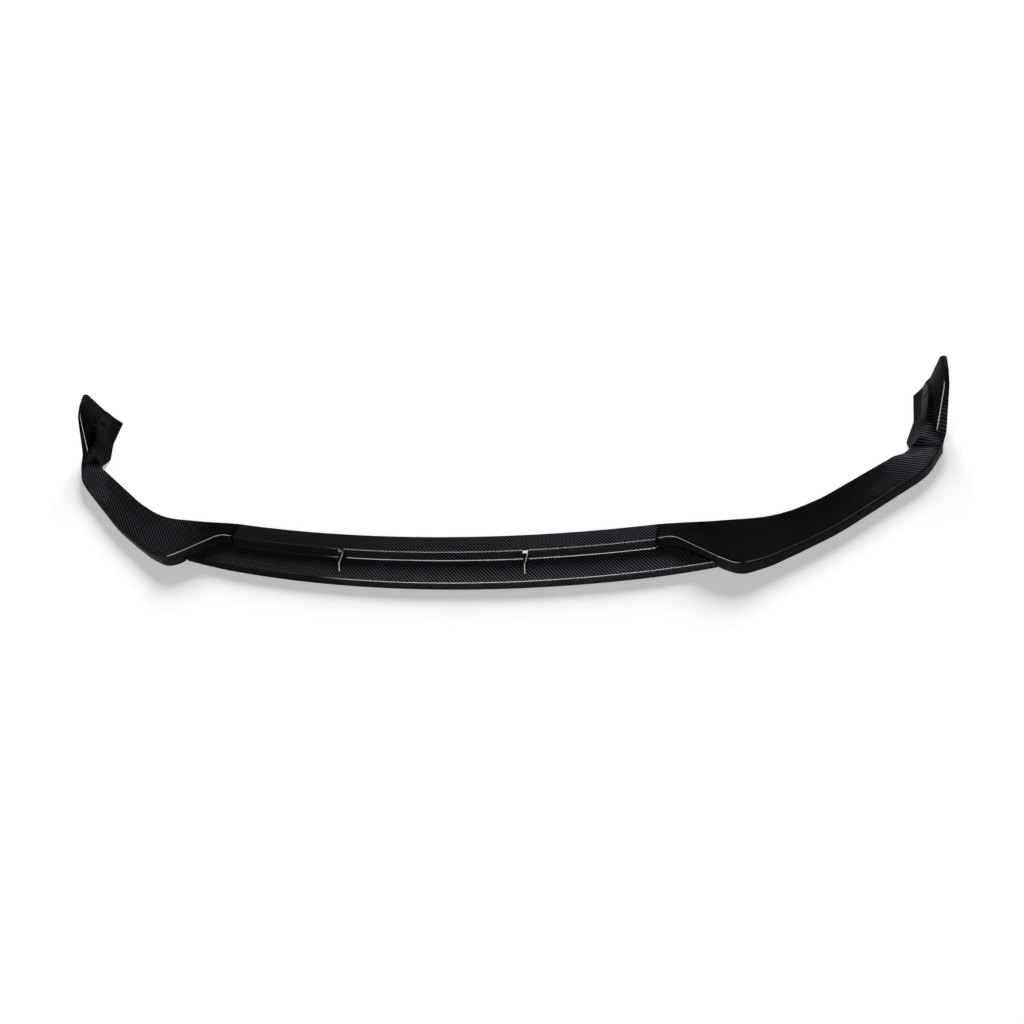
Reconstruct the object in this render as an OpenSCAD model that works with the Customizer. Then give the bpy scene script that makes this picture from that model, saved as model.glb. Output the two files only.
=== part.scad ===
// Three-piece front splitter lip: a centre section with a recessed ramp and two
// air fins, and two side sections that sweep back to upturned end fins.
// X runs across the car, Y runs rearward, Z is up; the lip stands on Z = 0.

/* [Overall] */
// Width over the two end fins
overall_w = 1818; // [1780:1:1860]
// Depth from the middle of the front edge to the rear ends
overall_d = 444; // [430:1:470]
// Height of the end fin tips
tip_h = 100; // [92:1:112]
// Thickness of the moulded skin
wall_t = 2.5; // [2:0.1:3]

/* [Centre section] */
// Width between the two seams
seam_w = 844; // [820:1:850]
// Width of the front edge between the two side sections
front_w = 1052; // [1046:1:1056]
// Plan radius of the front edge
front_r = 2600; // [2500:10:2750]
// Depth of the section in the middle
centre_d = 99; // [94:1:104]
// Depth of the recessed ramp, from the front face to the foot of the step
ramp_d = 46; // [42:1:48]
// How far the step leans back
step_lean = 9.5; // [7:0.5:11]
// Height of the front face
face_h = 16; // [13:0.5:18]
// Height of the ramp at the foot of the step
ramp_h = 20; // [19:0.5:22]
// Height of the crest of the step
crest_h = 35; // [32:0.5:38]
// Height of the rear edge at the seams
rear_h = 28; // [25:0.5:30]
// Depth of the turned-in flange under the front edge
return_d = 36; // [28:1:42]

/* [Air fins] */
// Distance between the two air fins
fin_pitch = 364; // [304:4:440]
// How far the pair sits to the right of the middle
fin_shift = 6; // [-10:1:10]
// Width of the flat top of an air fin at the step
fin_top_w = 12; // [8:0.5:14]
// Thickness of an air fin at its front
fin_t = 2.6; // [2:0.2:4]
// Length of an air fin along the ramp
fin_l = 40; // [36:1:42]

/* [Side sections] */
// Height of the outer crest of the blade
blade_h = 21; // [19:0.5:23]
// Height of the inner edge of the blade where it dips
blade_dip = 13.5; // [12:0.5:16]
// Depth of the turned-down lip along the rear edge
rear_lip = 8; // [6:0.5:10]
// Length of the skirt wall at each rear end
skirt_l = 142; // [134:1:148]
// Diameter of the screw hole in each skirt wall
skirt_hole_d = 4.5; // [3.5:0.5:6]

/* [Seam joints] */
// Thread diameter of the joint bolts
bolt_d = 6; // [5:0.5:6]
// Distance between the two bolts of a joint
bolt_pitch = 18; // [17:0.5:20]
// Height of the joint bolts above the floor
bolt_z = 15; // [14:0.5:16]
// Width of the open seam between two sections
seam_gap = 0.6; // [0.4:0.1:1]

/* [Hidden] */

half_w = overall_w / 2;
seam_x = seam_w / 2;
front_x = front_w / 2;
end_y = overall_d;
notch_y = end_y - skirt_l;
ramp_slope = (ramp_h - face_h) / ramp_d;
seat_gap = 0.3;
foot_lip = 7;
bend_share = 0.4;
flatten = 0.125;
toe_in = 5;
carbon_black = [0.05, 0.05, 0.06];
bolt_black = [0.16, 0.16, 0.17];

// How far the curved front edge has swept back at x
function sweep(x) = front_r - sqrt(front_r * front_r - x * x);
// Place of a line that runs u behind the front edge; the rear edge curves less
function row_y(x, u) = u + sweep(x) * (1 - flatten * u / centre_d);
function mix(a, b, s) = a + (b - a) * s;
function unit(v) = v / norm(v);
function last(v) = v[len(v) - 1];

// Points round corner b of a rail, between tangent points t away
function bend(a, b, c, t, n) =
    let (p = b + unit(a - b) * t, q = b + unit(c - b) * t)
    [for (i = [0:n]) let (s = i / n)
        (1 - s) * (1 - s) * p + 2 * s * (1 - s) * b + s * s * q];

// A rail through corners c, rounded over t at each, in n steps round a corner
// and m steps along a straight
function rail(c, t, n, m) =
    let (k_end = len(c) - 1,
         parts = [for (k = [0:k_end])
             (k == 0 || k == k_end) ? [c[k]] : bend(c[k-1], c[k], c[k+1], t[k], n[k])])
    concat(parts[0], [for (k = [1:k_end]) each concat(
        [for (i = [1:1:m[k-1] - 1]) mix(last(parts[k-1]), parts[k][0], i / m[k-1])],
        parts[k])]);

// Left-hand normal of the line from a to b, in a flat section
function left_of(a, b) = let (d = unit(b - a)) [-d[1], d[0]];

// A section line moved to its left by t, with mitred corners; a first end that
// stands is cut level
function inset(p, t) = let (e = len(p) - 1)
    [for (i = [0:e])
        let (a = i > 0 ? left_of(p[i-1], p[i]) : left_of(p[0], p[1]),
             b = i < e ? left_of(p[i], p[i+1]) : left_of(p[e-1], p[e]))
        i == 0 && abs(a[0]) > 0.5 ? p[0] + [t / a[0], 0] : p[i] + (a + b) * (t / (1 + a * b))];

// A section line with each corner eased over the length s; 0 keeps it sharp
function ease(p, s) = [for (i = [0:len(p) - 1])
    each (s[i] == 0 ? [p[i]]
        : let (a = p[i] + unit(p[i-1] - p[i]) * s[i], c = p[i] + unit(p[i+1] - p[i]) * s[i])
          [a, (a + 2 * p[i] + c) / 4, c])];

// Both faces of a skin: the outer line, and the inner line one wall away
function skin_loop(p, s) = let (inner = ease(inset(p, wall_t), s * bend_share))
    concat(ease(p, s), [for (i = [len(inner) - 1:-1:0]) inner[i]]);

// A closed solid through loops, each of which holds an outer and an inner line
module loft(loops) {
    n = len(loops[0]);
    half = n / 2;
    rows = len(loops) - 1;
    sides = [for (r = [0:rows - 1], i = [0:n - 1])
        let (j = (i + 1) % n, a = r * n + i, b = r * n + j, c = b + n, d = a + n)
        each [[a, c, b], [a, d, c]]];
    cap = [for (i = [0:half - 2])
        let (a = i, b = i + 1, c = n - 2 - i, d = n - 1 - i) each [[a, c, d], [a, b, c]]];
    far = rows * n;
    cap_far = [for (f = cap) [far + f[0], far + f[2], far + f[1]]];
    polyhedron([for (l = loops) each l], concat(sides, cap, cap_far));
}

// Centre section

centre_steps = 12;
// Half width of the ramp skin at depth u behind the front foot
function ramp_half(u) = lookup(u, [[0, front_x - 1], [12, front_x - 1.5], [ramp_d + 7, seam_x + 34]]);

// How far the foot of the front face draws back towards its two ends
function toe(x) = toe_in * pow(max(0, abs(x) - 0.75 * front_x) / (0.25 * front_x), 2);
// Places one flat section line [u, z] of the centre at share s of its half width
function centre_row(line, s, half_of) = [for (q = line)
    let (x = s * half_of(q[0])) [x, row_y(x, q[0]) + toe(x) * max(0, 1 - q[1] / face_h), q[1]]];

face_lean = 4.5;
step_u = ramp_d + face_lean + 0.5;
crest_u = step_u + step_lean;
crest_y = row_y(seam_x, crest_u);
rear_y = row_y(seam_x, centre_d);

module centre_band() {
    line = [[centre_d, rear_h - rear_lip], [centre_d, rear_h], [crest_u, crest_h],
            [step_u - 0.5, ramp_h - wall_t * 0.5]];
    loop = skin_loop(line, [0, 1, 1.6, 0]);
    loft([for (i = [-centre_steps:centre_steps])
        centre_row(loop, i / centre_steps, function(u) seam_x - seam_gap / 2)]);
}

module centre_ramp() {
    line = [[step_u + 2, ramp_h], [step_u - 6, ramp_h - 6 * ramp_slope],
            [face_lean + 2, face_h], [face_lean - 0.8, face_h - 2.4], [0, 0], [return_d, 0]];
    loop = skin_loop(line, [0, 0, 1, 1, 1, 0]);
    loft([for (i = [-centre_steps:centre_steps])
        centre_row(loop, i / centre_steps, function(u) ramp_half(u))]);
}

// A wedge fin with a flat top that narrows from the step to the front
module air_fin(x) {
    front_u = crest_u - fin_l;
    brow_u = mix(front_u, crest_u, 0.35);
    brow_z = mix(face_h, crest_h, 0.66);
    base_z = face_h - wall_t / 2;
    translate([x, row_y(x, crest_u) - crest_u, 0]) intersection() {
        rotate([90, 0, 90]) translate([0, 0, -fin_top_w]) linear_extrude(2 * fin_top_w)
            polygon([[front_u, base_z], [front_u, face_h + 1], [brow_u, brow_z],
                     [crest_u + 1, crest_h - 0.6], [crest_u + 1, base_z + 1]]);
        linear_extrude(crest_h)
            polygon([[-fin_t / 2, front_u], [fin_t / 2, front_u], [fin_t / 2, brow_u],
                     [fin_top_w / 2, crest_u + 1], [-fin_top_w / 2, crest_u + 1],
                     [-fin_t / 2, brow_u]]);
    }
}

// Upright plate under the skin at a seam, from x to x + wall_t
flange_foot = 6;
module seam_flange(x) {
    y0 = crest_y + 3;
    y1 = rear_y - wall_t / 2;
    translate([x, 0, 0]) rotate([90, 0, 90]) linear_extrude(wall_t)
        polygon([[y0, flange_foot], [y1, flange_foot], [y1, rear_h - wall_t / 2],
                 [y0, crest_h - wall_t / 2 - 0.6]]);
}

bolt_clearance = 0.4;
bolt_mid_y = (crest_y + rear_y) / 2 + 1.5;
function bolt_y(i) = bolt_mid_y + i * bolt_pitch / 2;

// The two bolt holes of the joint on side s, through both flanges
module bolt_holes(s) {
    for (i = [-1, 1]) translate([s * seam_x - 2 * wall_t, bolt_y(i), bolt_z])
        rotate([0, 90, 0]) cylinder(h = 4 * wall_t, d = bolt_d + bolt_clearance, $fn = 48);
}

module centre_section() {
    color(carbon_black) difference() {
        union() {
            centre_band();
            centre_ramp();
            for (s = [-1, 1]) air_fin(fin_shift + s * fin_pitch / 2);
            seam_flange(seam_x - wall_t);
            seam_flange(-seam_x);
        }
        bolt_holes(1);
        bolt_holes(-1);
    }
}

// Side section, drawn for the right

// Crest and inner rails from the seam to the notch; corner k of one rail pairs
// with corner k of the other
notch_x = front_x + 1;
crest_rail = rail(
    [[seam_x + seam_gap / 2, crest_y, crest_h],
     [seam_x + 28, crest_y + 4, crest_h + 2],
     [notch_x, crest_y - 36.5, crest_h - 1],
     [seam_x + 141, crest_y - 50, crest_h - 5],
     [seam_x + 188, crest_y - 31, blade_h + 3],
     [seam_x + 238, crest_y - 1.5, blade_h + 1],
     [seam_x + 298, crest_y + 36, blade_h],
     [half_w - 39, end_y - 193, blade_h],
     [half_w - 20, notch_y - 14, blade_h - 0.5],
     [half_w - 13, notch_y, blade_h - 1]],
    [0, 14, 1, 20, 14, 10, 30, 24, 3, 0], [0, 6, 1, 8, 3, 2, 3, 8, 2, 0], [2, 4, 2, 2, 2, 2, 7, 1, 1]);
inner_rail = rail(
    [[seam_x + seam_gap / 2, rear_y, rear_h],
     [seam_x + 30, rear_y + 2.5, rear_h],
     [notch_x - 16, rear_y + 8, rear_h - 2.5],
     [seam_x + 118, rear_y + 12.5, rear_h - 5],
     [seam_x + 152, rear_y + 18.5, blade_dip + 5],
     [seam_x + 206, rear_y + 29, blade_dip],
     [seam_x + 275, rear_y + 67, blade_dip],
     [half_w - 93, notch_y - 25, blade_h + 3],
     [half_w - 76, notch_y - 16, blade_h - 1],
     [half_w - 64, notch_y, blade_h - 5]],
    [0, 14, 1, 14, 8, 42, 14, 5, 3, 0], [0, 6, 1, 8, 3, 2, 3, 8, 2, 0], [2, 4, 2, 2, 2, 2, 7, 1, 1]);

// How far the face leans back between foot and crest, by place along the crest
function face_run(x) = lookup(x, [[seam_x + 30, step_lean], [seam_x + 65, step_lean - 1],
    [notch_x, 3], [seam_x + 125, 1], [seam_x + 145, 2.5], [seam_x + 200, 3]]);

// Rails of the rear end, each from the notch back to the end
skirt_y = notch_y + 26;
fin_y = notch_y + 28;
brow_y = end_y - 54;
skirt_rail = [[half_w - 64, notch_y, blade_h - 13], [half_w - 69, skirt_y, 0],
              [half_w - 54, brow_y - 12, 0], [half_w - 51, end_y, 0]];
tip_round = 4;
bow_rail = [[half_w - 64, notch_y, blade_h - 9], [half_w - 58, skirt_y, 12],
            [half_w - 42, brow_y - 12, 16], [half_w - 37, end_y, tip_h * 0.19]];
fold_rail = [[half_w - 64, notch_y, blade_h - 5], [half_w - 51, notch_y + 15, blade_h + 5],
             [half_w - 36, notch_y + 48, blade_h + 8], [half_w - 32, brow_y + 6, tip_h / 2],
             [half_w - 32, end_y - 28, tip_h / 2], [half_w - 31.5, end_y, tip_h * 0.36]];
ledge_rail = [[half_w - 25, notch_y, blade_h - 0.5], [half_w - 22.5, fin_y, blade_h + 1],
              [half_w - 25, brow_y, tip_h * 0.53],
              [half_w - 26, end_y - 28, tip_h * 0.54], [half_w - 26, end_y, tip_h * 0.42]];
fin_in_rail = [[half_w - 15.2, notch_y, blade_h - 1], [half_w - 21, fin_y, blade_h + 1],
               [half_w - 9, brow_y, tip_h - 19], [half_w - 9.5, end_y - 31, tip_h - 6.5],
               [half_w - 12.5, end_y - tip_round, tip_h], [half_w - 13, end_y, tip_h - tip_round]];
fin_out_rail = [[half_w - 13.2, notch_y, blade_h - 3.2], [half_w - 4, fin_y, blade_h - 1],
                [half_w, brow_y, tip_h - 22], [half_w - 0.5, end_y - 31, tip_h - 10],
                [half_w - 2, end_y - tip_round, tip_h - 2.5], [half_w - 3.5, end_y, tip_h - tip_round - 1]];
foot_rail = [[half_w - 10, notch_y, 0], [half_w - 8, fin_y, 0], [half_w - 8, end_y, 0]];

function on_rail(r, y) = [lookup(y, [for (p = r) [p[1], p[0]]]), lookup(y, [for (p = r) [p[1], p[2]]])];
// The same, with the rail's corners eased over a few millimetres
function near_rail(r, y) = let (d = min(4.5, y - notch_y, (end_y - y) / 2))
    (on_rail(r, y - d) + 2 * on_rail(r, y) + on_rail(r, y + d)) / 4;

// Sections: where the foot is, which way the section runs, and its line [u, z]
crown = 0.8;
end_slant = 0.12;
slant_from = 4.5;
crest_cut = 0.9 * wall_t;
function ramp_z(x, y) = let (u = y - sweep(x) - face_lean) face_h + min(ramp_d, max(0, u)) * ramp_slope;
// Next to the front notch the foot sweeps up from the floor
foot_rise = 9;
function rise_z(x) = foot_rise * pow(max(0, 1 - (x - notch_x) / 24), 2);

function blade_row(c, n) =
    let (way = unit([n[0] - c[0], n[1] - c[1]]), run = face_run(c[0]),
         foot = [c[0], c[1]] - way * run,
         w = norm([n[0] - c[0], n[1] - c[1]]) + run,
         on_ramp = c[0] < notch_x,
         foot_z = on_ramp ? ramp_z(foot[0], foot[1]) + seat_gap : rise_z(c[0]),
         near = run + 8)
    [foot, way, [[w, n[2] - rear_lip], [w, n[2] - rear_lip / 2], [w, n[2]],
        [(w + near) / 2, (n[2] + c[2]) / 2 + crown], [near, mix(c[2], n[2], 8 / w)],
        [run + crest_cut, c[2]], [run, c[2] - crest_cut],
        [0, foot_z], [on_ramp ? foot_lip : return_d - 8, foot_z]]];

function end_row(y) =
    let (f = near_rail(foot_rail, y)[0], share = (y - notch_y) / skirt_l,
         at = function(r) let (p = near_rail(r, y)) [f - p[0], p[1]],
         fold = at(fold_rail), ledge = at(ledge_rail))
    [[f, y - end_slant * slant_from * share], [-1, -end_slant * share],
     [at(skirt_rail), at(bow_rail), fold, (fold + ledge) / 2, ledge,
      at(fin_in_rail), at(fin_out_rail), [0, 0], [22, 0]]];

side_ease = [0, 0, 1.2, 0, 0.6, 1, 1, 1.2, 0];
function place(row) = let (loop = skin_loop(row[2], side_ease))
    [for (q = loop) [row[0][0] + row[1][0] * q[0], row[0][1] + row[1][1] * q[0], q[1]]];

end_ys = [for (y = [5, 10, 15, 20, 26, 30, 35]) notch_y + y];
end_steps = 14;
rows = concat([for (k = [0:len(crest_rail) - 1]) blade_row(crest_rail[k], inner_rail[k])],
              [for (y = end_ys) end_row(y)],
              [for (i = [1:end_steps]) end_row(mix(last(end_ys), end_y - tip_round, i / end_steps))],
              [for (y = [4, 2, 1, 0]) end_row(end_y - y)]);

// Screw hole through the skirt wall near the rear end, just under the fold
hole_y = end_y - 40;
hole_share = 0.7;
skirt_low = near_rail(bow_rail, hole_y);
skirt_high = near_rail(fold_rail, hole_y);
hole_at = mix(skirt_low, skirt_high, hole_share);
hole_tilt = atan2(skirt_high[0] - skirt_low[0], skirt_high[1] - skirt_low[1]);

module side_section() {
    difference() {
        union() {
            loft([for (r = rows) place(r)]);
            seam_flange(seam_x);
        }
        bolt_holes(1);
        translate([hole_at[0], hole_y, hole_at[1]]) rotate([0, hole_tilt - 90, 0])
            translate([0, 0, -2 * wall_t]) cylinder(h = 4 * wall_t, d = skirt_hole_d, $fn = 48);
    }
}

module side_section_right() { color(carbon_black) side_section(); }
module side_section_left() { color(carbon_black) mirror([1, 0, 0]) side_section(); }

// Joint fasteners

head_w = 1.67 * bolt_d;
head_h = 0.65 * bolt_d;
collar_d = 2.1 * bolt_d;
collar_t = 1.2;
nut_h = 0.85 * bolt_d;
thread_gap = 0.05;
bolt_l = 2 * wall_t + collar_t + nut_h + 2;

// Flanged hex bolt on side s: its collar seats on the centre flange
module joint_bolt(s, i) {
    translate([s * (seam_x - wall_t), bolt_y(i), bolt_z]) rotate([0, s * 90, 0]) {
        cylinder(h = bolt_l, d = bolt_d, $fn = 48);
        translate([0, 0, -collar_t]) cylinder(h = collar_t, d = collar_d, $fn = 48);
        translate([0, 0, -collar_t - head_h]) cylinder(h = head_h, d = head_w / cos(30), $fn = 6);
    }
}

// Flanged nut on side s: its collar seats on the side flange
module joint_nut(s, i) {
    translate([s * (seam_x + wall_t), bolt_y(i), bolt_z]) rotate([0, s * 90, 0]) difference() {
        union() {
            cylinder(h = collar_t, d = collar_d, $fn = 48);
            translate([0, 0, collar_t]) cylinder(h = nut_h, d = head_w / cos(30), $fn = 6);
        }
        translate([0, 0, -1]) cylinder(h = nut_h + collar_t + 2, d = bolt_d + 2 * thread_gap, $fn = 48);
    }
}

module joint_bolts() { color(bolt_black) for (s = [-1, 1], i = [-1, 1]) joint_bolt(s, i); }
module joint_nuts() { color(bolt_black) for (s = [-1, 1], i = [-1, 1]) joint_nut(s, i); }

// The origin is on the floor, midway between the front edge and the rear ends
module stand() { translate([0, -overall_d / 2, 0]) children(); }

stand() centre_section();
stand() side_section_left();
stand() side_section_right();
stand() joint_bolts();
stand() joint_nuts();
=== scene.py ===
import math
import bmesh, bpy
import numpy as np
from mathutils import Matrix, Vector


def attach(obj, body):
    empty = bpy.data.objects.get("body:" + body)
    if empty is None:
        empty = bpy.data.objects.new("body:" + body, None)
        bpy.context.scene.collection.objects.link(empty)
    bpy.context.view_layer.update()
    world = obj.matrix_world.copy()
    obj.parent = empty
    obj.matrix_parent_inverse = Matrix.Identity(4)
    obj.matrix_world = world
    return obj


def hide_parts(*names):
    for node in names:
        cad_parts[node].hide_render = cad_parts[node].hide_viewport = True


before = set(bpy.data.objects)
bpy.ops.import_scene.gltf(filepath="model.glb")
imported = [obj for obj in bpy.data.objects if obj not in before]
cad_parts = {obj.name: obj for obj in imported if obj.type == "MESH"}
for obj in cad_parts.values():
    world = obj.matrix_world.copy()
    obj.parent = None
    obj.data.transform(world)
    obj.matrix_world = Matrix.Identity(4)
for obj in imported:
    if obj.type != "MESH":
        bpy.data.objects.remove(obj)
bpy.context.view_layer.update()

scene = bpy.context.scene

# Sizes in millimetres, as in the CAD: x across, y rearward from the front edge, z up
lip = {
    "halfWidth": 909.0, "depth": 444.0, "tipHeight": 100.0, "skin": 2.5,
    "seamX": 422.0, "frontX": 526.0, "frontRadius": 2600.0, "flatten": 0.125,
    "toe": 3.0, "toeFrom": 0.75, "centreDepth": 99.0, "rampDepth": 46.0, "faceLean": 4.5, "stepLean": 9.5,
    "faceHeight": 16.0, "rampHeight": 20.0, "crestHeight": 35.0, "rearHeight": 28.0,
    "returnDepth": 36.0, "rearLip": 8.0, "seamGap": 0.6, "skirtLength": 142.0,
    "bladeHeight": 21.0, "bladeDip": 13.5, "tipRound": 4.0,
}
# How a section is coated and shaded: clear coat on its walls, and painted shading on its weave, lighter where
# it is level and darker where it tilts back
coatAndPaintedShading = {"wallCoat": 0.28, "level": 1.6, "levelFrom": -0.2, "levelTo": 0.01, "wallShade": 0.63, "wallSlope": 6}
inside = {"wear": 0.0, "coat": 0.1, "shade": 1.0, "run": 0.0}  # the same for the back of the skin
stepU = lip["rampDepth"] + lip["faceLean"] + 0.5
crestU = stepU + lip["stepLean"]
notchY = lip["depth"] - lip["skirtLength"]
notchX = lip["frontX"] + 1
middleY = lip["depth"] / 2


def toFrame(p):
    return (p[0] / 1000, (p[1] - middleY) / 1000, p[2] / 1000)


def sweep(x):
    return lip["frontRadius"] - math.sqrt(lip["frontRadius"] ** 2 - x * x)


def rowY(x, u):  # a line u behind the front edge; the rear edge curves less
    return u + sweep(x) * (1 - lip["flatten"] * u / lip["centreDepth"])


def toe(x):
    start, reach = lip["toeFrom"] * lip["frontX"], (1 - lip["toeFrom"]) * lip["frontX"]
    return lip["toe"] * (max(0, abs(x) - start) / reach) ** 2


def unit(v):
    return v / np.linalg.norm(v)


def lookup(x, table):
    return float(np.interp(x, [t[0] for t in table], [t[1] for t in table]))


crestY, rearY = rowY(lip["seamX"], crestU), rowY(lip["seamX"], lip["centreDepth"])


# Section lines: eased corners, a second face one skin away, and the length along them
def leftOf(a, b):
    d = unit(b - a)
    return np.array([-d[1], d[0]])


def inset(p, t):
    out = []
    for i, q in enumerate(p):
        a = leftOf(p[i - 1], q) if i else leftOf(p[0], p[1])
        b = leftOf(q, p[i + 1]) if i < len(p) - 1 else a
        if i == 0 and abs(a[0]) > 0.5:  # a steep start is cut off level
            out.append(q + np.array([t / a[0], 0]))
        else:
            out.append(q + (a + b) * (t / (1 + a @ b)))
    return out


def ease(p, sizes, steps, shine):
    out, wear = [], []
    for i, q in enumerate(p):
        if not sizes[i]:
            out.append(q)
            wear.append(0.0)
            continue
        a, c = q + unit(p[i - 1] - q) * sizes[i], q + unit(p[i + 1] - q) * sizes[i]
        turn = 1 - unit(q - p[i - 1]) @ unit(p[i + 1] - q)
        for k in range(steps + 1):
            s = k / steps
            out.append((1 - s) ** 2 * a + 2 * s * (1 - s) * q + s * s * c)
            wear.append(math.sin(math.pi * s) * min(1, 2 * turn) * shine[i])
    return out, wear


def skinLoop(line, sizes, shine, ref, steps=4):
    line = [np.array(q, float) for q in line]
    outer, wear = ease(line, sizes, steps, shine)
    inner, _ = ease(inset(line, lip["skin"]), [0.4 * s for s in sizes], steps, shine)
    run = np.concatenate([[0], np.cumsum([np.linalg.norm(b - a) for a, b in zip(outer, outer[1:])])])
    near = min(range(len(outer)), key=lambda i: np.linalg.norm(outer[i] - line[ref]))
    flat = line[ref][0] - (run - run[near])  # the section laid flat round its ref corner
    last = len(outer) - 1
    way = [unit(outer[min(i + 1, last)] - outer[max(i - 1, 0)]) for i in range(last + 1)]
    coat = [coatAndPaintedShading["wallCoat"] * (1 - abs(w[0])) ** 2 for w in way]
    # painted shading: the weave is drawn lighter where the section is level and darker where it tilts back
    shade = [coatAndPaintedShading["level"] if coatAndPaintedShading["levelFrom"] < w[1] < coatAndPaintedShading["levelTo"]
             else 1 - coatAndPaintedShading["wallShade"] * min(1, coatAndPaintedShading["wallSlope"] * max(0, w[1])) for w in way]
    return outer, inner, wear, flat, coat, shade


def rail(corners, easing, corner, straight):
    c = [np.array(q, float) for q in corners]
    last = len(c) - 1
    parts = []
    for k in range(last + 1):
        if k in (0, last):
            parts.append([c[k]])
            continue
        p, q = (c[k] + unit(c[near] - c[k]) * easing[k] for near in (k - 1, k + 1))
        parts.append([(1 - s) ** 2 * p + 2 * s * (1 - s) * c[k] + s * s * q
                      for s in np.linspace(0, 1, corner[k] + 1)])
    out = list(parts[0])
    for k in range(1, last + 1):
        a, b = parts[k - 1][-1], parts[k][0]
        out += [a + (b - a) * i / straight[k - 1] for i in range(1, straight[k - 1])]
        out += parts[k]
    return out


def addLayers(mesh, layers):
    for name, values in layers.items():
        mesh.attributes.new(name, "FLOAT", "POINT").data.foreach_set("value", values)


def dropTwins(work):  # two faces on the same corners are a wall inside the skin
    seen = {}
    for face in work.faces:
        seen.setdefault(frozenset(tuple(round(c, 6) for c in v.co) for v in face.verts), []).append(face)
    twins = [face for group in seen.values() if len(group) > 1 for face in group]
    bmesh.ops.delete(work, geom=twins, context="FACES")


# A mesh from rows of loops; each loop is an outer line and an inner line of equal length
class Shell:
    def __init__(self):
        self.points, self.flat, self.faces, self.under = [], [], [], []
        self.values = {key: [] for key in inside}

    def loft(self, rows):
        half = len(rows[0]["outer"])
        base = len(self.points)
        n = 2 * half
        for row in rows:
            self.points += row["outer"] + row["inner"][::-1]
            self.flat += row["flat"] + row["flat"][::-1]
            for key, plain in inside.items():
                self.values[key] += list(row[key]) + [plain] * half
        for r in range(len(rows) - 1):
            for i in range(n):
                j = (i + 1) % n
                a, b = base + r * n + i, base + r * n + j
                self.faces.append((a, b, b + n, a + n))
                self.under.append(half <= i < n - 1)
        for r in (0, len(rows) - 1):
            for i in range(half - 1):
                a = base + r * n + i
                b = base + r * n + n - 1 - i
                self.faces += [(a, a + 1, b - 1), (a, b - 1, b)]
                self.under += [False, False]

    def plate(self, outline, x0, x1):  # an upright plate whose outline is [y, z]
        base = len(self.points)
        k = len(outline)
        for x in (x0, x1):
            self.points += [np.array([x, y, z]) for y, z in outline]
            self.flat += [(x, y) for y, z in outline]
        for key, plain in inside.items():
            self.values[key] += [plain] * 2 * k
        for i in range(k):
            j = (i + 1) % k
            self.faces.append((base + i, base + j, base + k + j, base + k + i))
        self.faces += [tuple(range(base, base + k)), tuple(range(base + k, base + 2 * k))]
        self.under += [True] * (k + 2)

    def build(self, name, cloth, mirror=False, sharp=38):  # the weave's strength along the piece, which also paints light and shade along it
        side = -1 if mirror else 1
        mesh = bpy.data.meshes.new(name)
        mesh.from_pydata([toFrame((side * p[0], p[1], p[2])) for p in self.points], [], self.faces)
        uv = mesh.uv_layers.new(name="flat")
        addLayers(mesh, {key: self.values[key] for key in ("wear", "coat", "shade")})
        addLayers(mesh, {"cloth": [lookup(run, cloth) for run in self.values["run"]]})
        for loop in mesh.loops:
            u, v = self.flat[loop.vertex_index]
            uv.data[loop.index].uv = (side * u / 1000, v / 1000)
        for face, under in zip(mesh.polygons, self.under):
            face.material_index = 1 if under else 0
            face.use_smooth = True
        work = bmesh.new()
        work.from_mesh(mesh)
        dropTwins(work)
        bmesh.ops.recalc_face_normals(work, faces=work.faces)
        work.to_mesh(mesh)
        work.free()
        mesh.set_sharp_from_angle(angle=math.radians(sharp))
        piece = bpy.data.objects.new(name, mesh)
        scene.collection.objects.link(piece)
        return piece


# Centre section: one profile from the rear lip over the step and ramp to the underside flange
centre = {
    "stations": 72, "wingStations": 8, "seamZone": 2.5, "seamRows": (2.4, 3.3),
    "crest": 2.1, "foot": 1.9, "nose": 2.2, "toeEdge": 1.35, "rear": 1.2,
    "lines": {"rear": 0.05, "crest": 0.55, "foot": 0.95, "nose": 0.9},
    "shine": [[-1000, 0], [-600, 0.06], [-215, 0.03], [-160, 0.8], [-60, 1], [600, 1], [1000, 0]],
    # the weave's strength along the section, which also paints it darker towards the left and lighter towards
    # the right
    "cloth": [[-1000, 0], [-600, 0.3], [-180, 0.4], [-60, 0.85], [120, 1], [260, 1.25], [600, 1.4],
              [1000, 0]],
    "coatFloor": 0.25,
}
bandX = lip["seamX"] - lip["seamGap"] / 2


def rampHalf(u):
    return lookup(u, [[0, lip["frontX"] + 0.3], [12, lip["frontX"] - 0.5],
                      [lip["rampDepth"] + 7, lip["seamX"] + 34]])


def centreRow(loop, xOf):
    outer, inner, wear, flat, coat, shade = loop
    row = {"outer": [], "inner": [], "flat": [], "wear": [], "coat": [], "run": [], "shade": shade}
    for part, line in (("outer", outer), ("inner", inner)):
        for q in line:
            x = xOf(q[0])
            drop = toe(x) * max(0, 1 - q[1] / lip["faceHeight"])
            row[part].append(np.array([x, rowY(x, q[0]) + drop, q[1]]))
    for q, u, shine, gloss in zip(outer, flat, wear, coat):
        x = xOf(q[0])
        row["flat"].append((x, u + sweep(x)))
        atSeam = abs(x) > bandX - centre["seamZone"] and q[0] > stepU - 2
        run = math.copysign(1000, x) if atSeam else x  # off the tables' ends, so the seam stays dark
        edge = lookup(run, centre["shine"])
        row["run"].append(run)
        row["wear"].append(shine * edge)
        row["coat"].append(gloss * min(1, centre["coatFloor"] + edge))
    return row


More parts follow.
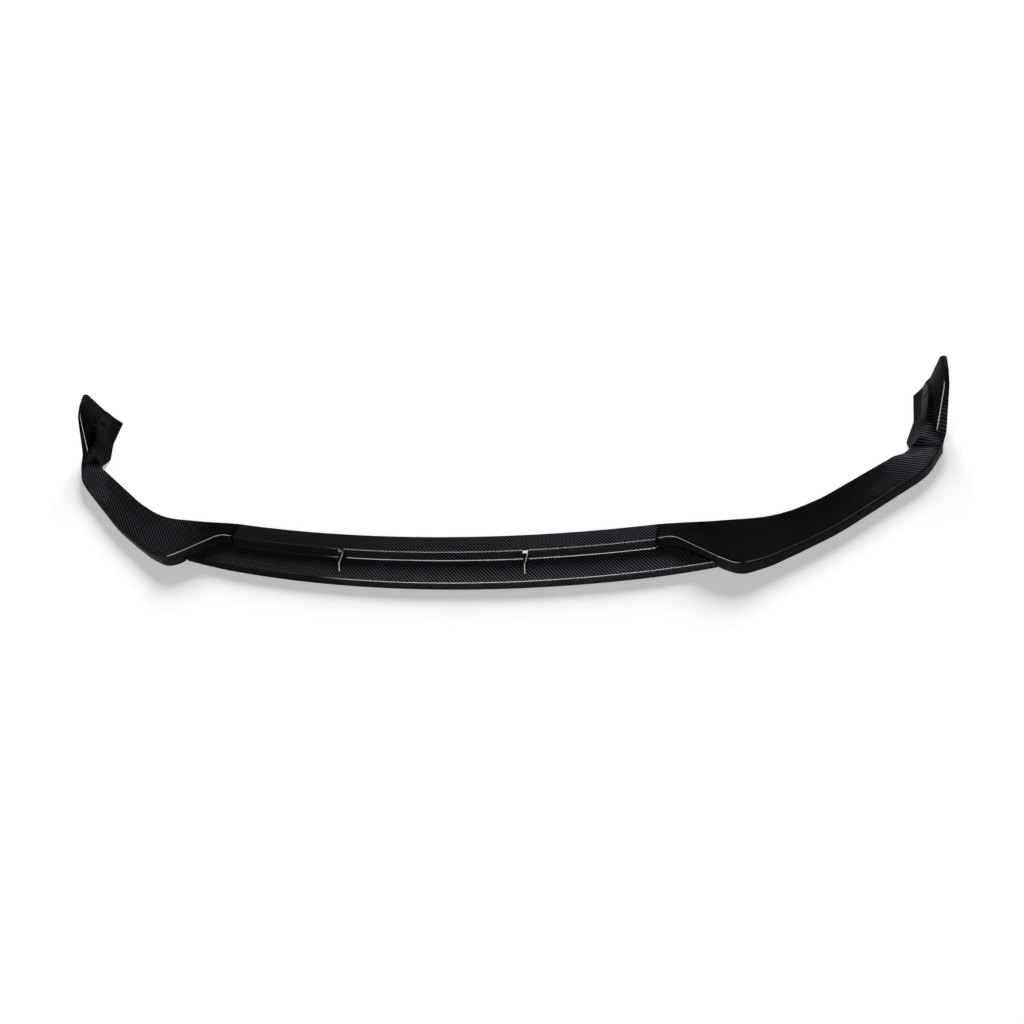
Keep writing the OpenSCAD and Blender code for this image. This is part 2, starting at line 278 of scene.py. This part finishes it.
slope = (lip["rampHeight"] - lip["faceHeight"]) / lip["rampDepth"]
noseLine = [[lip["faceLean"] + 0.3, lip["faceHeight"]], [0, 0], [lip["returnDepth"], 0]]
noseEase, noseShine = [centre["nose"], centre["toeEdge"], 0], [centre["lines"]["nose"], 0, 0]
shell = Shell()
fullLine = [[lip["centreDepth"], lip["rearHeight"] - lip["rearLip"]], [lip["centreDepth"], lip["rearHeight"]],
            [crestU, lip["crestHeight"]], [stepU - 0.5, lip["rampHeight"]]] + noseLine
loop = skinLoop(fullLine, [0, centre["rear"], centre["crest"], centre["foot"]] + noseEase,
                [0] + [centre["lines"][k] for k in ("rear", "crest", "foot")] + noseShine, 4)
outerX, innerX = (bandX - run for run in centre["seamRows"])
stations = [-bandX, -outerX, *np.linspace(-innerX, innerX, centre["stations"]), outerX, bandX]
shell.loft([centreRow(loop, lambda u: x) for x in stations])
wingLine = [[stepU + 2, lip["rampHeight"]], [stepU - 6, lip["rampHeight"] - 6 * slope]] + noseLine
loop = skinLoop(wingLine, [0, 0] + noseEase, [0, 0] + noseShine, 1)
for side in (-1, 1):
    shell.loft([centreRow(loop, lambda u: side * (bandX + s * (rampHalf(u) - bandX)))
                for s in np.linspace(0, 1, centre["wingStations"])])
flangeLine = [(crestY + 3, 6), (rearY - 1.25, 6), (rearY - 1.25, lip["rearHeight"] - 1.25),
              (crestY + 3, lip["crestHeight"] - 1.85)]
for x in (lip["seamX"] - lip["skin"], -lip["seamX"]):
    shell.plate(flangeLine, x, x + lip["skin"])
centreSection = shell.build("centre_section_skin", centre["cloth"])
print("centre section:", len(centreSection.data.polygons), "faces")


# Air fins: a tilted bar at the step that narrows to a kink, then a thin falling edge
fin = {"top": 12.0, "front": 3.0, "pitch": 364.0, "shift": 6.0, "length": 40.0, "edge": 0.5, "root": 1.2,
       "kink": (0.35, 0.66), "leftBar": 0.15, "rightBar": 1, "coat": 0.02, "shade": 0.5}


def airFin(name, x, bar):
    fh, ch, w = lip["faceHeight"], lip["crestHeight"], fin["top"] / 2
    frontU, topU = crestU - fin["length"], crestU + 1.5
    kinkU, kinkZ = frontU + fin["kink"][0] * (crestU - frontU), fh + fin["kink"][1] * (ch - fh)
    y0, low = rowY(x, crestU) - crestU, fh - fin["root"]
    line = [(frontU, 0, fin["front"], fh + fin["root"], 0.4, 0), (kinkU, 0, fin["front"], kinkZ, 1.2, 0),
            (crestU - 6.3, -5, 5, ch - 3.9, 1.8, 0), (crestU - 5.4, -5.1, 5.1, ch - 3.4, 1.8, bar),
            (crestU - 0.4, -w, w, ch - 0.6, 0.6, bar), (topU, -w, w, ch - 0.2, 0.6, bar)]
    work = bmesh.new()
    rows, wear = [], []
    for u, near, far, top, cut, shine in line:  # cut is the small facet along the right edge
        section = ((near - 0.5, low), (near, top), (far - cut, top), (far, top - cut / 2), (far + 0.5, low))
        rows.append([work.verts.new(toFrame((x + sx, y0 + u, z))) for sx, z in section])
        wear += [0, shine, shine or 1, shine or 1, 0]
    for a, b in zip(rows, rows[1:]):
        for i in range(5):
            work.faces.new((a[i], a[(i + 1) % 5], b[(i + 1) % 5], b[i]))
    work.faces.new(rows[0])
    work.faces.new(rows[-1][::-1])
    bmesh.ops.recalc_face_normals(work, faces=work.faces)
    mesh = bpy.data.meshes.new(name)
    work.to_mesh(mesh)
    work.free()
    uv = mesh.uv_layers.new(name="flat")
    for corner in mesh.loops:
        p = mesh.vertices[corner.vertex_index].co
        uv.data[corner.index].uv = (p.x, p.y - p.z)
    n = len(wear)
    # painted shade: the fins' weave is drawn at half its tone
    addLayers(mesh, {"wear": wear, "coat": [fin["coat"]] * n, "cloth": [0] * n, "shade": [fin["shade"]] * n})
    piece = bpy.data.objects.new(name, mesh)
    scene.collection.objects.link(piece)
    bevel = piece.modifiers.new("edge", "BEVEL")
    bevel.width, bevel.segments = fin["edge"] / 1000, 4
    bevel.limit_method, bevel.angle_limit = "ANGLE", 0.5
    for face in mesh.polygons:
        face.use_smooth = True
    smooth = piece.modifiers.new("normals", "WEIGHTED_NORMAL")
    smooth.keep_sharp = True
    return piece


airFins = [airFin("air_fin_left", fin["shift"] - fin["pitch"] / 2, fin["leftBar"]),
           airFin("air_fin_right", fin["shift"] + fin["pitch"] / 2, fin["rightBar"])]
print("air fins:", len(airFins))

# Side section, drawn for the right; the same rails as the CAD with finer steps
flank = {
    "rear": 1.2, "crest": 1.3, "foot": 1.3, "fold": 2.2, "crown": 0.8, "endSteps": 44,
    "slant": 0.12, "slantFrom": 4.5, "footRise": 5.5, "footRun": 24, "holeY": 404.0, "hole": 4.5,
    "seamRows": (2.4, 3.4), "joinRows": (2.5, 37.5, 15), "shoulder": 8, "holeUp": 0.7,
    "shine": [[2.4, 0], [3.4, 1.2], [30, 1.8], [100, 2.2], [135, 1.6], [160, 0.5], [185, 0.3],
              [465, 0.2], [500, 0.1], [520, 1], [570, 1], [582, 0.1]],
    # painted light: the ends of the side are drawn up to three times lighter
    "shade": [[480, 1], [520, 3]],
    # the weave's strength along each side, which also paints light and shade along it
    "weaveAndPaintedLightRight": [[0, 0], [2.4, 0], [3.4, 0.6], [40, 0.3], [100, 0.06], [300, 0.1], [400, 0.2],
                   [450, 0.9], [500, 1.3], [520, 0.6], [560, 0.15]],
    "weaveAndPaintedLightLeft": [[0, 0], [2.4, 0], [3.4, 0.2], [60, 0.3], [150, 0.8], [300, 1.0],
                  [450, 0.6], [490, 0.3], [530, 0.05], [600, 0]],
}
w, e, x0 = lip["halfWidth"], lip["depth"], lip["seamX"]
bh, dip, rh = lip["bladeHeight"], lip["bladeDip"], lip["rearHeight"]
ch, tip, tr = lip["crestHeight"], lip["tipHeight"], lip["tipRound"]
corner = [0, 14, 2, 18, 8, 6, 8, 18, 5, 0]  # points round each corner of a rail
straight = [3, 10, 6, 6, 6, 6, 22, 4, 4]  # and along each straight
crestRail = rail([[x0 + 0.3, crestY, ch], [x0 + 28, crestY + 4, ch + 2], [notchX, crestY - 36.5, ch - 1],
                  [x0 + 141, crestY - 50, ch - 5], [x0 + 188, crestY - 31, bh + 3],
                  [x0 + 238, crestY - 1.5, bh + 1], [x0 + 298, crestY + 36, bh], [w - 39, e - 193, bh],
                  [w - 20, notchY - 14, bh - 0.5], [w - 13, notchY, bh - 1]],
                 [0, 14, 1, 20, 14, 10, 30, 24, 3, 0], corner, straight)
innerRail = rail([[x0 + 0.3, rearY, rh], [x0 + 30, rearY + 2.5, rh], [notchX - 16, rearY + 8, rh - 2.5],
                  [x0 + 118, rearY + 12.5, rh - 5], [x0 + 152, rearY + 18.5, dip + 5],
                  [x0 + 206, rearY + 29, dip], [x0 + 275, rearY + 67, dip],
                  [w - 93, notchY - 25, bh + 3], [w - 76, notchY - 16, bh - 1], [w - 64, notchY, bh - 5]],
                 [0, 14, 1, 14, 8, 42, 14, 5, 3, 0], corner, straight)
faceRun = [[x0 + 30, lip["stepLean"]], [x0 + 65, lip["stepLean"] - 1], [notchX, 3],
           [x0 + 125, 1], [x0 + 145, 2.5], [x0 + 200, 3]]
skirtY, finY, browY = notchY + 26, notchY + 28, e - 54
ends = {  # the lines that the end of a side section runs along
    "skirt": [[w - 64, notchY, bh - 13], [w - 69, skirtY, 0], [w - 54, browY - 12, 0], [w - 51, e, 0]],
    "bow": [[w - 64, notchY, bh - 9], [w - 58, skirtY, 12], [w - 42, browY - 12, 16],
            [w - 37, e, tip * 0.19]],
    "fold": [[w - 64, notchY, bh - 5], [w - 51, notchY + 15, bh + 5], [w - 36, notchY + 48, bh + 8],
             [w - 32, browY + 6, tip / 2], [w - 32, e - 28, tip / 2], [w - 31.5, e, tip * 0.36]],
    "ledge": [[w - 25, notchY, bh - 0.5], [w - 22.5, finY, bh + 1], [w - 25, browY, tip * 0.53],
              [w - 26, e - 28, tip * 0.54], [w - 26, e, tip * 0.42]],
    "finIn": [[w - 15.2, notchY, bh - 1], [w - 21, finY, bh + 1], [w - 9, browY, tip - 19],
              [w - 9.5, e - 31, tip - 6.5], [w - 12.5, e - tr, tip], [w - 13, e, tip - tr]],
    "finOut": [[w - 13.2, notchY, bh - 3.2], [w - 4, finY, bh - 1], [w, browY, tip - 22],
               [w - 0.5, e - 31, tip - 10], [w - 2, e - tr, tip - 2.5], [w - 3.5, e, tip - tr - 1]],
    "foot": [[w - 10, notchY, 0], [w - 8, finY, 0], [w - 8, e, 0]],
}


def nearRail(name, y):  # the line's x and z at y, with its corners eased
    def at(v):
        return np.array([lookup(v, [[p[1], p[k]] for p in ends[name]]) for k in (0, 2)])
    d = min(4.5, y - notchY, (e - y) / 2)
    return (at(y - d) + 2 * at(y) + at(y + d)) / 4


def rampZ(x, y):
    u = y - sweep(x) - lip["faceLean"]
    return lip["faceHeight"] + min(lip["rampDepth"], max(0, u)) * slope


def bladeRow(c, n):
    way, run = unit(n[:2] - c[:2]), lookup(c[0], faceRun)
    foot = c[:2] - way * run
    far = np.linalg.norm(n[:2] - c[:2]) + run
    onRamp = c[0] < notchX
    rise = max(0, 1 - (c[0] - notchX) / flank["footRun"]) ** 2
    footZ = rampZ(*foot) + 0.3 if onRamp else flank["footRise"] * rise
    near, cut = run + flank["shoulder"], 0.9 * lip["skin"]
    reach = 7 if onRamp else lip["returnDepth"] - 8  # how far the flange runs in from the foot
    line = [[far, n[2] - lip["rearLip"]], [far, n[2] - lip["rearLip"] / 2], [far, n[2]],
            [(far + near) / 2, (n[2] + c[2]) / 2 + flank["crown"]],
            [near, c[2] + (n[2] - c[2]) * flank["shoulder"] / far],
            [run + cut, c[2]], [run, c[2] - cut], [0, footZ], [reach, footZ]]
    sizes = [0, 1, flank["rear"], 10, 5, flank["crest"], flank["crest"], flank["foot"], 0]
    return foot, way, line, sizes, [0, 0, 0.1, 0, 0, 1, 0.4, 0, 0], 5, c[0] - x0


def endRow(y):
    f, share = nearRail("foot", y)[0], (y - notchY) / lip["skirtLength"]
    at = {k: np.array([f - nearRail(k, y)[0], nearRail(k, y)[1]]) for k in ends}
    line = [at["skirt"], at["bow"], at["fold"], (at["fold"] + at["ledge"]) / 2, at["ledge"], at["finIn"],
            at["finOut"], np.array([0, 0]), np.array([22, 0])]
    soft = min(1, (y - notchY) / 40)  # the blade's corners grow into those of the fin over 40 mm
    nose = min(1, max(0, (y - browY - 20) / 30))  # the fin's edge is rounder at the tip
    fold = flank["rear"] + (flank["fold"] - flank["rear"]) * soft
    edge = flank["crest"] + 3 * nose
    sizes = [0, 1 + 3 * soft, fold, 10 - 8.5 * soft, 5 - 2.5 * soft, edge + 0.5 * soft, edge,
             flank["foot"], 0]
    foot = np.array([f, y - flank["slant"] * flank["slantFrom"] * share])
    way = np.array([-1, -flank["slant"] * share])
    return foot, way, line, sizes, [0, 0, 0.05, 0, 0, 1, 0, 0, 0], 4, w - x0 + y - notchY


def sideRow(row):
    foot, way, line, sizes, shine, ref, run = row
    # painted light: the ends are drawn up to three times lighter
    edge, light = lookup(run, flank["shine"]), lookup(run, flank["shade"])
    outer, inner, wear, flat, coat, shade = skinLoop(line, sizes, [v * edge for v in shine], ref)

    def put(u, *z):
        return (foot[0] + way[0] * u, foot[1] + way[1] * u, *z)
    return {"outer": [np.array(put(*q)) for q in outer], "inner": [np.array(put(*q)) for q in inner],
            "flat": [put(u) for u in flat], "wear": wear, "coat": coat, "shade": [v * light for v in shade],
            "run": [run] * len(outer)}


for line in (crestRail, innerRail):
    line[1:1] = [line[0] + unit(line[1] - line[0]) * run for run in flank["seamRows"]]
rows = [bladeRow(c, n) for c, n in zip(crestRail, innerRail)]
rows += [endRow(notchY + y) for y in np.linspace(*flank["joinRows"])]
rows += [endRow(y) for y in np.linspace(notchY + flank["joinRows"][1], e - tr, flank["endSteps"] + 1)[1:]]
rows += [endRow(e - tr * (1 - s)) for s in (0.2, 0.4, 0.6, 0.8, 0.9, 1)]
shell = Shell()
shell.loft([sideRow(r) for r in rows])
shell.plate(flangeLine, lip["seamX"], lip["seamX"] + lip["skin"])
low, high = nearRail("bow", flank["holeY"]), nearRail("fold", flank["holeY"])
holeAt = low + (high - low) * flank["holeUp"]
holeTilt = math.atan2(high[0] - low[0], high[1] - low[1])


def sideSection(name, mirror):
    piece = shell.build(name, flank["weaveAndPaintedLightLeft" if mirror else "weaveAndPaintedLightRight"], mirror)
    s = -1 if mirror else 1
    drill = bmesh.new()
    turn = Matrix.Rotation(s * (holeTilt - math.pi / 2), 4, "Y")
    place = Matrix.Translation(toFrame((s * holeAt[0], flank["holeY"], holeAt[1])))
    half = Matrix.Rotation(math.pi / 32, 4, "Z")  # half a facet, so no facet's edge lies on a row
    bmesh.ops.create_cone(drill, cap_ends=True, segments=32, radius1=flank["hole"] / 2000,
                          radius2=flank["hole"] / 2000, depth=0.014, matrix=place @ turn @ half)
    mesh = bpy.data.meshes.new("drill")
    drill.to_mesh(mesh)
    drill.free()
    tool = bpy.data.objects.new("drill", mesh)
    scene.collection.objects.link(tool)
    cut = piece.modifiers.new("hole", "BOOLEAN")
    cut.object, cut.operation, cut.solver = tool, "DIFFERENCE", "EXACT"
    bpy.context.view_layer.update()
    solid = bpy.data.meshes.new_from_object(piece.evaluated_get(bpy.context.evaluated_depsgraph_get()))
    piece.modifiers.clear()
    piece.data = solid
    solid.name = name
    clean = bmesh.new()
    clean.from_mesh(solid)
    bmesh.ops.triangulate(clean, faces=[face for face in clean.faces if len(face.verts) > 4])
    dropTwins(clean)
    clean.to_mesh(solid)
    clean.free()
    bpy.data.objects.remove(tool)
    bpy.data.meshes.remove(mesh)
    return piece


rightSection = sideSection("side_section_right_skin", False)
leftSection = sideSection("side_section_left_skin", True)
print("side sections:", len(rightSection.data.polygons), "faces each")

# Joint bolts and nuts under the seams
joint = {"thread": 6.0, "turn": 1.0, "depth": 0.55, "turnSteps": 12, "threadFacets": 32, "tail": 2.0,
         "bore": 6.1, "flat": 10.0, "hexFacets": 24, "bevel": 0.5, "top": 0.88, "head": 3.9, "nut": 5.1,
         "collar": 12.6, "collarT": 1.2, "rim": 0.3, "neck": 5.2, "pitch": 18.0, "z": 15.0}
boltY = (crestY + rearY) / 2 + 1.5
boltLength = 2 * lip["skin"] + joint["collarT"] + joint["nut"] + joint["tail"]


def ring(work, z, radii):
    turns = [2 * math.pi * i / len(radii) for i in range(len(radii))]
    return [work.verts.new((r * math.cos(a), r * math.sin(a), z)) for a, r in zip(turns, radii)]


def bridge(work, loops):
    for a, b in zip(loops, loops[1:]):
        n = len(a)
        for i in range(n):
            work.faces.new((a[i], a[(i + 1) % n], b[(i + 1) % n], b[i]))


def lathe(work, profile, n=40):
    loops = [ring(work, z, [r] * n) for r, z in profile]
    bridge(work, loops)
    return loops


def hexRing(work, z, size=1.0):
    n = joint["hexFacets"]
    turns = [2 * math.pi * i / n % (math.pi / 3) - math.pi / 6 for i in range(n)]
    return ring(work, z, [size * joint["flat"] / 2 / math.cos(a) for a in turns])


def thread(work, length):
    n, steps = joint["threadFacets"], int(length / joint["turn"] * joint["turnSteps"])
    loops = []
    for z in (length * k / steps for k in range(steps + 1)):
        phases = [(z / joint["turn"] - i / n) % 1 for i in range(n)]
        radii = [joint["thread"] / 2 - joint["depth"] * abs(2 * phase - 1) for phase in phases]
        loops.append(ring(work, z, radii))
    bridge(work, loops)
    return loops


def cap(work, loops):
    work.faces.new(loops[0])
    work.faces.new(loops[-1])


def atSeams(work, name):  # one piece with a copy at each bolt's place
    bmesh.ops.recalc_face_normals(work, faces=work.faces)
    master = bpy.data.meshes.new(name)
    work.to_mesh(master)
    work.free()
    full = bmesh.new()
    for s, y in places:
        at = Matrix.Translation(toFrame((s * (lip["seamX"] - lip["skin"]), y, joint["z"])))
        move = at @ Matrix.Rotation(s * math.pi / 2, 4, "Y") @ Matrix.Scale(0.001, 4)
        part = bmesh.new()
        part.from_mesh(master)
        bmesh.ops.transform(part, matrix=move, verts=part.verts)
        temp = bpy.data.meshes.new("temp")
        part.to_mesh(temp)
        part.free()
        full.from_mesh(temp)
        bpy.data.meshes.remove(temp)
    full.to_mesh(master)
    full.free()
    for face in master.polygons:
        face.use_smooth = True
    master.set_sharp_from_angle(angle=math.radians(35))
    piece = bpy.data.objects.new(name, master)
    scene.collection.objects.link(piece)
    return piece


places = [(s, boltY + i * joint["pitch"] / 2) for s in (-1, 1) for i in (-1, 1)]
outer, rim, edge = joint["collar"] / 2, joint["rim"], joint["bevel"]
neck, bore, size = joint["neck"], joint["bore"] / 2, joint["top"]

work = bmesh.new()
z0 = -joint["collarT"]
z1 = z0 - joint["head"]
cap(work, lathe(work, [(0.5, 0), (outer - rim, 0), (outer, -rim), (outer, -edge), (neck, z0)]))
loops = [hexRing(work, z0), hexRing(work, z1 + edge), hexRing(work, z1, size)]
bridge(work, loops)
cap(work, loops)
cap(work, thread(work, boltLength))
bolts = atSeams(work, "joint_bolts_dressed")

work = bmesh.new()
base = 2 * lip["skin"]
z0 = base + joint["collarT"]
z1 = z0 + joint["nut"]
loops = lathe(work, [(bore, base), (outer - rim, base), (outer, base + rim), (outer, base + edge),
                     (neck, z0), (bore, z0)])
bridge(work, [loops[-1], loops[0]])
loops = [hexRing(work, z0), hexRing(work, z1 - edge), hexRing(work, z1, size)]
loops += lathe(work, [(bore, z1), (bore, z0)], joint["hexFacets"])
bridge(work, loops[:4])
bridge(work, [loops[4], loops[0]])
nuts = atSeams(work, "joint_nuts_dressed")
print("fasteners:", len(bolts.data.polygons) + len(nuts.data.polygons), "faces")


# Shader maths: a socket that takes part in Python expressions
class Wire:
    def __init__(self, surface, socket):
        self.surface, self.socket = surface, socket

    def math(self, op, *inputs):
        return self.surface.add("ShaderNodeMath", {"operation": op}, inputs)

    def __add__(self, other):
        return self.math("ADD", self, other)

    def __sub__(self, other):
        return self.math("SUBTRACT", self, other)

    def __rsub__(self, other):
        return self.math("SUBTRACT", other, self)

    def __mul__(self, other):
        return self.math("MULTIPLY", self, other)

    def __mod__(self, other):
        return self.math("FLOORED_MODULO", self, other)

    def __pow__(self, other):
        return self.math("POWER", self, other)

    def __lt__(self, other):
        return self.math("LESS_THAN", self, other)

    def floor(self):
        return self.math("FLOOR", self)

    def sin(self):
        return self.math("SINE", self)

    def clamp(self):
        return self.surface.add("ShaderNodeClamp", {}, [self, 0.0, 1.0])

    __radd__, __rmul__ = __add__, __mul__


class Surface:
    def __init__(self, owner, shader="Principled BSDF"):
        owner.use_nodes = True
        self.owner, self.tree = owner, owner.node_tree
        self.shader = self.tree.nodes[shader]

    def add(self, kind, settings, inputs, out=0):
        node = self.tree.nodes.new(kind)
        for key, value in settings.items():
            if key == "stops":
                ramp = node.color_ramp
                while len(ramp.elements) < len(value):
                    ramp.elements.new(0.5)
                for element, (at, tone) in zip(ramp.elements, value):
                    element.position, element.color = at, (tone, tone, tone, 1)
            else:
                setattr(node, key, value)
        for key, value in inputs.items() if isinstance(inputs, dict) else enumerate(inputs):
            if isinstance(value, Wire):
                self.tree.links.new(value.socket, node.inputs[key])
            else:
                node.inputs[key].default_value = value
        return Wire(self, node.outputs[out])

    def layer(self, name):
        return self.add("ShaderNodeAttribute", {"attribute_name": name}, [], 2)

    def noise(self, scale, detail, place):
        return self.add("ShaderNodeTexNoise", {}, {"Vector": place, "Scale": scale, "Detail": detail})

    def bump(self, distance, height, strength=1.0):
        return self.add("ShaderNodeBump", {}, {"Strength": strength, "Distance": distance, "Height": height})

    def plain(self, **values):
        for key, value in values.items():
            self.shader.inputs[key.replace("_", " ")].default_value = value

    def feed(self, name, wire):
        self.tree.links.new(wire.socket, self.shader.inputs[name])

    def mixTone(self, factor, a, b):
        return self.add("ShaderNodeMix", {"data_type": "RGBA"}, {0: factor, 6: a, 7: b}, 2)


# Twill cloth: each tow runs over two and under two, and only the tows of one direction are painted light, a
# painted sheen where they would catch the light
weave = {"tow": 1.75, "light": (0.135, 0.142, 0.165, 1), "dark": (0.0006, 0.0006, 0.0008, 1), "fill": 0.08,
         "drift": (0.6, 0.4), "driftScale": 7.0, "threadScale": 2600.0, "patchScale": 140.0,
         "bump": 0.0002, "rough": 0.34, "gapRough": 0.12, "coatRough": 0.03,
         "centre": (3, 1.0), "right": (36, 0.6), "left": (-6, 0.48)}  # turn in degrees, and strength, a painted shade that draws the sides darker than the centre


def carbonLook(side):
    s = Surface(bpy.data.materials.new("carbon_look_" + side))
    # painted shade: each side's copy of this material is drawn darker by its level
    turn, level = math.radians(weave[side][0]), weave[side][1]
    uv = s.add("ShaderNodeUVMap", {"uv_map": "flat"}, [])
    x, y = (s.add("ShaderNodeSeparateXYZ", {}, [uv], k) for k in (0, 1))
    place = s.add("ShaderNodeTexCoord", {}, [], 3)
    drift = s.noise(weave["driftScale"], 1.0, place) - 0.5
    c, d, tow = math.cos(turn), math.sin(turn), weave["tow"] / 1000
    u = (x * (c / tow) + y * (d / tow)) + drift * weave["drift"][0]
    v = (y * (c / tow) - x * (d / tow)) + drift * weave["drift"][1]
    iu, iv = u.floor(), v.floor()
    fu, fv = u - iu, v - iv
    phase = (iu + iv) % 4.0
    warp = phase < 1.5
    across = fu * warp + fv * (1 - warp)
    along = ((phase + fv) * warp + (phase - 2 + fu) * (1 - warp)) * 0.5
    height = (1 - (across * 2 - 1) ** 2.0) * (0.35 + (along * math.pi).sin() * 0.65)
    threads = s.noise(weave["threadScale"], 1.0, uv)
    # painted sheen: tows of one direction are drawn lighter, brightest along their crowns
    tone = warp * (0.3 + height * 0.7) * (0.86 + threads * 0.28)
    fill = weave["fill"] * (0.8 + s.noise(weave["patchScale"], 4.0, place) * 0.4)
    # the weave's strength along the piece also paints light and shade, as does the shading by tilt
    wear, shown = s.layer("wear"), s.layer("cloth")
    mixed = (fill + (tone - fill) * shown).clamp() * s.layer("shade") * level
    s.feed("Base Color", s.mixTone(mixed, weave["dark"], weave["light"]))
    s.feed("Roughness", weave["rough"] + (1 - height) * weave["gapRough"] * shown)
    s.feed("Normal", s.bump(weave["bump"], height * shown.clamp() * (1 - wear * 4).clamp()))
    s.feed("Coat Weight", (s.layer("coat") + wear).clamp())
    s.plain(Coat_Roughness=weave["coatRough"], Coat_IOR=1.5, Specular_IOR_Level=0.0)
    return s.owner


def mouldedBlack():  # the back of the skin
    s = Surface(bpy.data.materials.new("moulded_black"))
    place = s.add("ShaderNodeTexCoord", {}, [], 3)
    grain, cloud = s.noise(900.0, 3.0, place), s.noise(18.0, 3.0, place)
    s.feed("Base Color", s.mixTone(cloud, (0.010, 0.010, 0.011, 1), (0.020, 0.020, 0.021, 1)))
    s.feed("Roughness", 0.42 + cloud * 0.14 + grain * 0.06)
    s.feed("Normal", s.bump(0.0002, grain, 0.35))
    return s.owner


def blackZinc():
    s = Surface(bpy.data.materials.new("black_zinc"))
    cloud = s.noise(260.0, 4.0, s.add("ShaderNodeTexCoord", {}, [], 3))
    s.feed("Base Color", s.mixTone(cloud, (0.045, 0.045, 0.048, 1), (0.11, 0.11, 0.108, 1)))
    s.feed("Roughness", 0.3 + cloud * 0.22)
    s.feed("Normal", s.bump(0.0001, cloud, 0.2))
    s.plain(Metallic=1.0)
    return s.owner


under, zinc = mouldedBlack(), blackZinc()
centreCloth, rightCloth, leftCloth = (carbonLook(side) for side in ("centre", "right", "left"))
pieces = [(centreSection, [centreCloth, under], "centre_section", "lip_skin"),
          (rightSection, [rightCloth, under], "side_section_right", "lip_skin"),
          (leftSection, [leftCloth, under], "side_section_left", "lip_skin"),
          (bolts, [zinc], "joint_bolts", "fastener"), (nuts, [zinc], "joint_nuts", "fastener")]
pieces += [(piece, [centreCloth], "centre_section", "lip_skin") for piece in airFins]
for piece, looks, node, slot in pieces:
    piece.data.materials.clear()
    for look in looks:
        piece.data.materials.append(look)
    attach(piece, "root")
    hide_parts(node)
print("materials:", len(bpy.data.materials))

# Camera from the photo's own perspective, with the focal length in pixels and the place in millimetres
view = {"focal": 1000.0, "width": 1024, "at": (684.2, -901.6, 1458.8),
        "right": (0.9572, 0.1691, -0.2353), "forward": (-0.2897, 0.5689, -0.7697)}
camera = bpy.data.objects.new("camera", bpy.data.cameras.new("camera"))
scene.collection.objects.link(camera)
camera.data.sensor_width, camera.data.lens = 36, 36 * view["focal"] / view["width"]
forward = Vector(view["forward"]).normalized()
right = Vector(view["right"])
right = (right - forward * right.dot(forward)).normalized()
up = right.cross(forward)
axes = Matrix((right, up, -forward)).transposed().to_4x4()
camera.matrix_world = Matrix.Translation(toFrame(view["at"])) @ axes
camera.data.clip_end = 60
scene.camera = camera

# White paper and a pale room; each sun has a direction towards it, a strength and a width in degrees
studio = {
    "paper": 0.8, "glow": 0.44, "size": 14,
    "horizon": 0.35, "wallTop": 0.2, "ceiling": 0.04, "ceilingFrom": 0.62,
    "back": ((0.0, 0.92, 0.39), 5.1, 23),
    "rim": ((-0.17, -0.65, 0.74), 8.0, 46),
    "left": ((-0.56, -0.3, 0.77), 1.5, 18),
    "top": ((0.4, 0.12, 0.9), 1.5, 18),
}


def rays(surface, *kinds):
    total, *others = (surface.add("ShaderNodeLightPath", {}, [], "Is %s Ray" % kind) for kind in kinds)
    for other in others:
        total = total + other
    return total.clamp()


floorMesh = bpy.data.meshes.new("floor")
half = studio["size"]
sheet = [(-half, -half, 0), (half, -half, 0), (half, half, 0), (-half, half, 0)]
floorMesh.from_pydata(sheet, [], [(0, 1, 2, 3)])
floor = bpy.data.objects.new("floor", floorMesh)
scene.collection.objects.link(floor)
paper = Surface(bpy.data.materials.new("paper"))
fibres = paper.add("ShaderNodeTexNoise", {}, {"Scale": 3.0})
dark, light = ([studio["paper"] + k] * 3 + [1] for k in (-0.01, 0.01))
seen = ("Camera", "Glossy", "Transmission")  # these rays see white paper and white walls
paper.feed("Base Color", paper.mixTone(fibres, dark, light))
paper.feed("Emission Color", paper.mixTone(rays(paper, *seen), (0, 0, 0, 1), (1, 1, 1, 1)))
paper.plain(Roughness=0.9, Specular_IOR_Level=0.0, Emission_Strength=studio["glow"])
floor.data.materials.append(paper.owner)


def softSun(name):
    toward, strength, spread = studio[name]
    sun = bpy.data.lights.new(name, "SUN")
    sun.energy, sun.angle = strength, math.radians(spread)
    lamp = bpy.data.objects.new(name, sun)
    scene.collection.objects.link(lamp)
    lamp.rotation_euler = Vector([-v for v in toward]).to_track_quat("-Z", "Y").to_euler()
    return lamp


softSun("back").visible_glossy = False  # lights the paper and the cloth and stays out of the gloss
for name in ("rim", "left", "top"):
    softSun(name).visible_diffuse = False  # these only draw the bright lines along the rounded edges

world = bpy.data.worlds.new("studio")
scene.world = world
room = Surface(world, "Background")
height = room.add("ShaderNodeSeparateXYZ", {}, [room.add("ShaderNodeTexCoord", {}, [])], 2)
ceiling = (studio["ceilingFrom"], studio["ceiling"])
lit, shown = (room.add("ShaderNodeValToRGB", {"stops": ((studio["wallTop"], wall), ceiling)}, [height])
              for wall in (studio["horizon"], 1.0))
reflected = room.mixTone(rays(room, *seen), lit, shown)
room.feed("Color", room.mixTone(rays(room, "Camera"), reflected, (1, 1, 1, 1)))
scene.view_settings.view_transform = "Standard"
